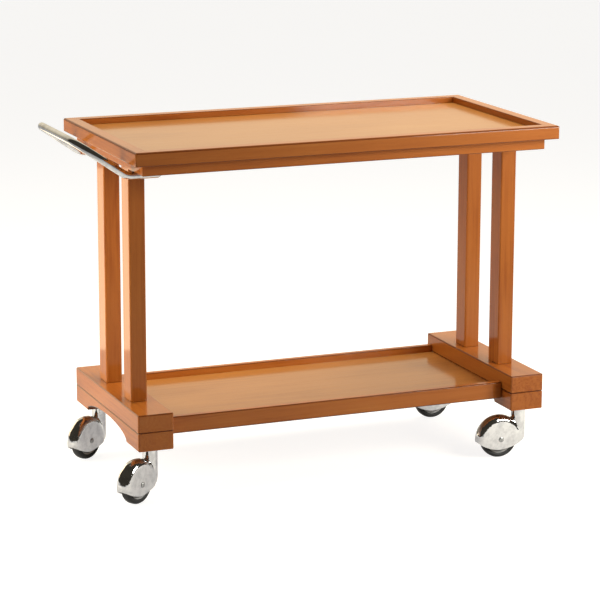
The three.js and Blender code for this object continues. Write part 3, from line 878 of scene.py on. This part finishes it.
def spline(points, steps):
    """A smooth line through its points."""
    ends = [points[0] * 2 - points[1], *points, points[-1] * 2 - points[-2]]
    line = []
    for a, b, c, d in zip(ends, ends[1:], ends[2:], ends[3:]):
        for step in range(steps):
            t = step / steps
            bend = (2 * a - 5 * b + 4 * c - d) * t**2 + (3 * b - a - 3 * c + d) * t**3
            line.append(0.5 * (2 * b + (c - a) * t + bend))
    return line + [points[-1]]


def neck_form(axle):
    """The upright neck, drawn in below to run out inside the drum."""
    radius = NECK / 2
    return turned(
        [
            (0.0, axle.z - SKIRT_DROP),
            (radius * 0.5, axle.z - SKIRT_DROP * 0.9),
            (radius * 0.85, axle.z - SKIRT_DROP * 0.45),
            (radius, axle.z + 2 * NECK_ROUND),
            (radius, NECK_TOP - NECK_ROUND),
            (radius - 0.3 * NECK_ROUND, NECK_TOP - 0.3 * NECK_ROUND),
            (radius - NECK_ROUND, NECK_TOP),
            (0.0, NECK_TOP),
        ],
        NECK_FACETS,
    )


def above_skirt(axle, front):
    """A block of everything above the swept lower edge."""
    edge = spline(
        [
            Vector((front + SAW_MARGIN, axle.z - SKIRT_DROP * SKIRT_FRONT)),
            *[Vector((axle.x + ahead, axle.z - SKIRT_DROP * drop)) for ahead, drop in SKIRT_EDGE],
            Vector((-NECK / 2 - SAW_MARGIN, axle.z + NECK_SKIRT)),
        ],
        SKIRT_STEPS,
    )
    outline = edge + [Vector((-SAW_BACK, SAW_TOP)), Vector((front + SAW_MARGIN, SAW_TOP))]
    block = bmesh.new()
    near = [block.verts.new((point.x, -SAW_HALF, point.y)) for point in outline]
    far = [block.verts.new((point.x, SAW_HALF, point.y)) for point in outline]
    block.faces.new(near)
    block.faces.new(far)
    for index in range(len(outline)):
        following = (index + 1) % len(outline)
        block.faces.new([near[index], near[following], far[following], far[index]])
    bmesh.ops.recalc_face_normals(block, faces=block.faces)
    return block


def hood_mesh():
    """One hood in the castor's own frame, as a plain mesh."""
    place = PLACES[0]
    axle = castor_place(place).inverted() @ middle_of(f"castor_axle_{place}")
    tyre_low, tyre_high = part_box(f"wheel_tyre_{place}")
    inner = (tyre_high[2] - tyre_low[2]) / 2 + WHEEL_ROOM
    outer = inner + HOOD_WALL
    hood = bpy.data.objects.new("casting", bpy.data.meshes.new("casting"))
    bpy.context.scene.collection.objects.link(hood)
    form = drum(HOOD_WIDTH / 2, outer, axle)
    form.to_mesh(hood.data)
    form.free()
    cut(hood, neck_form(axle), "UNION")
    grain = hood.modifiers.new("grain", "REMESH")
    grain.mode = "VOXEL"
    grain.voxel_size = CASTING_GRAIN
    flow = hood.modifiers.new("flow", "SMOOTH")
    flow.iterations = CASTING_PASSES
    plain(hood)
    cut(hood, above_skirt(axle, axle.x + outer), "INTERSECT")
    cut(hood, drum(HOOD_WIDTH / 2 - HOOD_WALL, inner, axle), "DIFFERENCE")
    across = Vector((0, AXLE_DRILL, 0))
    drill(hood, [(axle - across, axle + across)], AXLE_HOLE / 2)
    drill(hood, [(Vector((0, 0, -STEM_HOLE_DEPTH)), Vector((0, 0, SAW_TOP)))], STEM_HOLE / 2)
    made = hood.data
    bpy.data.objects.remove(hood)
    return made


polished_hood = chrome_plate("polished_casting", 0.05, 0.08, 0.5, 218, 50.0)
casting = hood_mesh()
for place in PLACES:
    hood = bmesh.new()
    hood.from_mesh(casting)
    make_piece(
        f"castor_hood_{place}_casting",
        put(hood, castor_place(place)),
        polished_hood,
        f"castor_{place}",
        [f"castor_hood_{place}"],
        crease=38.0,
    )

# ---- Wheels -------------------------------------------------------------------------------------
# A moulded grey core with a hub, web and rim runs on a riveted steel axle, and a dark rubber tyre
# with a crowned tread is pressed round it.
AXLE = 0.008
AXLE_HEAD = 0.013
AXLE_HEAD_HEIGHT = 0.0018
AXLE_HEAD_EDGE = 0.0003
AXLE_DIMPLE = 0.0005  # the mark that the riveting tool leaves
AXLE_FACETS = 48
HUB = 0.018
HUB_DRAFT = 0.0009
HUB_FILLET = 0.0015
WEB_HALF = 0.004  # half its thickness, as the other halves here are half a width
WEB_FILLET = 0.0012
RIM = 0.006
RIM_HALF = 0.0105
RIM_DRAFT = 0.0013
RIM_EDGE = 0.0004
MOULDED_ROUND = 0.0006
CORE_FACETS = 96
TYRE_DEPTH = 0.012
BEAD_HALF = 0.011
# how far in from the crown, and half the width there: a groove in the side, then the tread
TYRE_GROOVE = ((0.0066, 0.0119), (0.0062, 0.0113), (0.0056, 0.0113), (0.0052, 0.012))
TYRE_TREAD = (
    (0.0042, 0.0118), (0.0026, 0.0107), (0.0012, 0.0085), (0.0004, 0.006), (0.0001, 0.003)
)
TYRE_FACETS = 128


def both_sides(half):
    """The whole outline of a form whose lower half mirrors its upper one."""
    below = [(radius, -height) for radius, height in half]
    return below + [point for point in reversed(half) if point[1] > 0.0]


def moulded(name, dark, light, roughness, scale):
    """Moulded rubber or plastic, with a fine tooth and a bloom of dust."""
    finish, shader, wire = new_finish(name, Specular_IOR_Level=0.45)
    place = wire.node("TexCoord", output="Object")
    dust = wire.noise(place, 35.0, 5.0, 0.6).between(0.35, 0.75)
    tooth = wire.noise(place, scale, 3.0)
    wire.feed(shader.inputs["Base Color"], dust.blend(shade(*dark), shade(*light)))
    wire.feed(shader.inputs["Roughness"], roughness + dust * 0.15 + tooth * 0.08)
    bump = wire.node("Bump", {}, {"Strength": 0.3, "Distance": 0.0002, "Height": tooth})
    wire.feed(shader.inputs["Normal"], bump)
    return finish


rubber = moulded("tyre_rubber_black", (34, 35, 37), (60, 60, 61), 0.45, 1400.0)
grey_plastic = moulded("wheel_core_grey", (176, 178, 181), (202, 203, 205), 0.35, 900.0)
for place in PLACES:
    own = castor_place(place)
    axle = own.inverted() @ middle_of(f"castor_axle_{place}")
    spot = own @ Matrix.Translation(axle)
    tyre_low, tyre_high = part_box(f"wheel_tyre_{place}")
    wheel = (tyre_high[2] - tyre_low[2]) / 2
    seat = HOOD_WIDTH / 2 + FIT
    top = seat + AXLE_HEAD_HEIGHT
    head = AXLE_HEAD / 2
    half_axle = [
        (0.0, top - AXLE_DIMPLE * 1.2),
        (head * 0.22, top - AXLE_DIMPLE),
        (head * 0.3, top),
        (head * 0.6, top),
        (head * 0.94, seat + AXLE_HEAD_HEIGHT / 2),
        (head, seat + AXLE_HEAD_EDGE),
        (head - AXLE_HEAD_EDGE, seat),
        (AXLE / 2, seat),
    ]
    make_piece(
        f"castor_axle_{place}_rivet",
        put(along_y(turned(both_sides(half_axle), AXLE_FACETS)), spot),
        zinc,
        f"castor_{place}",
        [f"castor_axle_{place}"],
    )
    hub_half = HOOD_WIDTH / 2 - HOOD_WALL - FIT
    rim_outer = wheel - TYRE_DEPTH
    rim_inner = rim_outer - RIM
    half_core = [
        (AXLE / 2 + FIT, hub_half - CHAMFER),
        (AXLE / 2 + FIT + CHAMFER, hub_half),
        (HUB / 2 - MOULDED_ROUND, hub_half),
        (HUB / 2, hub_half - MOULDED_ROUND),
        (HUB / 2 + HUB_DRAFT, WEB_HALF + WEB_FILLET),
        (HUB / 2 + HUB_DRAFT + HUB_FILLET, WEB_HALF),
        (rim_inner - WEB_FILLET, WEB_HALF),
        (rim_inner, WEB_HALF + WEB_FILLET),
        (rim_inner + RIM_DRAFT, RIM_HALF - MOULDED_ROUND),
        (rim_inner + RIM_DRAFT + MOULDED_ROUND, RIM_HALF),
        (rim_outer - RIM_EDGE, RIM_HALF),
        (rim_outer, RIM_HALF - RIM_EDGE),
    ]
    make_piece(
        f"wheel_core_{place}_moulding",
        put(along_y(turned(both_sides(half_core), CORE_FACETS)), spot),
        grey_plastic,
        f"wheel_{place}",
        [f"wheel_core_{place}"],
    )
    half_tyre = [
        (rim_outer + FIT, BEAD_HALF - RIM_EDGE),
        (rim_outer + FIT + CHAMFER, BEAD_HALF),
        *[(wheel - depth, half) for depth, half in TYRE_GROOVE + TYRE_TREAD],
        (wheel, 0.0),
    ]
    make_piece(
        f"wheel_tyre_{place}_rubber",
        put(along_y(turned(both_sides(half_tyre), TYRE_FACETS)), spot),
        rubber,
        f"wheel_{place}",
        [f"wheel_tyre_{place}"],
    )

# ---- Floor, lights and camera -------------------------------------------------------------------
# A plain pale floor under five soft studio lamps: two at the left end, one at the right front
# corner, one overhead and a small one under the tray, with a pale wall behind the right end.
FLOOR_REACH = 40.0
FLOOR_GLOW = 0.86  # a lit floor, so that it looks as pale as studio paper from every side
FLOOR_MIRRORED = 0.4  # share of the glow that gloss and chrome mirror
ROOM = 0.04  # how bright the room is, against the pale wall
WALL = 0.8
WALL_TINT = (255, 240, 210)
WALL_WAY = (0.36, 0.92, 0.16)
WALL_EDGE = (0.62, 0.93)  # cosine of the angle from WALL_WAY where the wall fades out, and is full
LAMPS = {
    # name: place, point it faces, width, height, watts, shade, whether gloss and chrome mirror it
    "left_lamp": ((-0.98, 0.05, 0.52), (-0.45, 0.0, 0.52), 0.6, 1.1, 8.8, (255, 252, 240), False),
    "left_card": ((-0.78, 0.75, 0.35), (-0.42, 0.0, 0.35), 0.5, 0.5, 1.5, (255, 228, 186), True),
    "right_lamp": ((1.3, -1.45, 1.15), (0.45, 0.0, 0.45), 0.9, 0.8, 36.0, (255, 252, 242), True),
    "overhead": ((0.6, 0.4, 2.8), (0.2, 0.1, 0.6), 2.0, 1.4, 96.0, (255, 254, 246), False),
    "under_tray": ((-0.1, 0.0, 0.74), (-0.1, 0.0, 0.0), 0.4, 0.3, 2.7, (255, 250, 236), False),
}
CAMERA_PLACE = (-2.1851, -5.4161, 1.7509)
CAMERA_DOWN = 12.29  # degrees below level
CAMERA_TURN = -21.63  # degrees from facing the back
CAMERA_LENS = 148.356
CAMERA_SENSOR = 36.0
CAMERA_SHIFT = (0.04397, -0.05727)


def pale_floor():
    """Matt studio paper, lit from inside for whoever looks at it but not for what it lights."""
    finish, shader, wire = new_finish(
        "pale_floor", Specular_IOR_Level=0.1, Emission_Strength=FLOOR_GLOW
    )
    place = wire.node("TexCoord", output="Object")
    tone = wire.noise(place, 1.5, 2.0)
    wire.feed(shader.inputs["Base Color"], tone.blend(shade(162, 157, 148), shade(168, 163, 154)))
    seen = wire.node("LightPath", output="Is Camera Ray")
    seen = seen + wire.node("LightPath", output="Is Glossy Ray") * FLOOR_MIRRORED
    wire.feed(shader.inputs["Emission Color"], seen.blend(shade(0, 0, 0), shade(255, 255, 255)))
    wire.feed(shader.inputs["Roughness"], 0.7 + tone * 0.1)
    return finish


floor = bpy.data.objects.new("floor", bpy.data.meshes.new("floor"))
flat = bmesh.new()
bmesh.ops.create_grid(flat, x_segments=1, y_segments=1, size=FLOOR_REACH)
flat.to_mesh(floor.data)
flat.free()
floor.data.materials.append(pale_floor())
bpy.context.scene.collection.objects.link(floor)

world = bpy.data.worlds.new("studio")
world.use_nodes = True
air = Wire(world.node_tree)
way = air.node("TexCoord", output="Generated")
facing = air.node(
    "VectorMath",
    {"operation": "DOT_PRODUCT"},
    {0: way, 1: Vector(WALL_WAY).normalized()},
    output="Value",
)
backdrop = world.node_tree.nodes["Background"]
air.feed(backdrop.inputs["Color"], shade(*WALL_TINT))
air.feed(backdrop.inputs["Strength"], facing.between(*WALL_EDGE) * (WALL - ROOM) + ROOM)
bpy.context.scene.world = world
bpy.context.scene.view_settings.view_transform = "Standard"

for name, (spot, target, width, height, watts, tone, mirrored) in LAMPS.items():
    light = bpy.data.lights.new(name, "AREA")
    light.shape = "RECTANGLE"
    light.size = width
    light.size_y = height
    light.energy = watts
    light.color = shade(*tone)[:3]
    lamp = bpy.data.objects.new(name, light)
    bpy.context.scene.collection.objects.link(lamp)
    lamp.location = spot
    lamp.rotation_euler = (Vector(target) - Vector(spot)).to_track_quat("-Z", "Y").to_euler()
    lamp.visible_camera = False
    lamp.visible_glossy = mirrored

camera = bpy.data.objects.new("camera", bpy.data.cameras.new("camera"))
bpy.context.scene.collection.objects.link(camera)
camera.location = CAMERA_PLACE
camera.rotation_euler = (math.radians(90 - CAMERA_DOWN), 0.0, math.radians(CAMERA_TURN))
camera.data.lens = CAMERA_LENS
camera.data.sensor_width = CAMERA_SENSOR
camera.data.shift_x, camera.data.shift_y = CAMERA_SHIFT
camera.data.clip_end = 100.0
bpy.context.scene.camera = camera
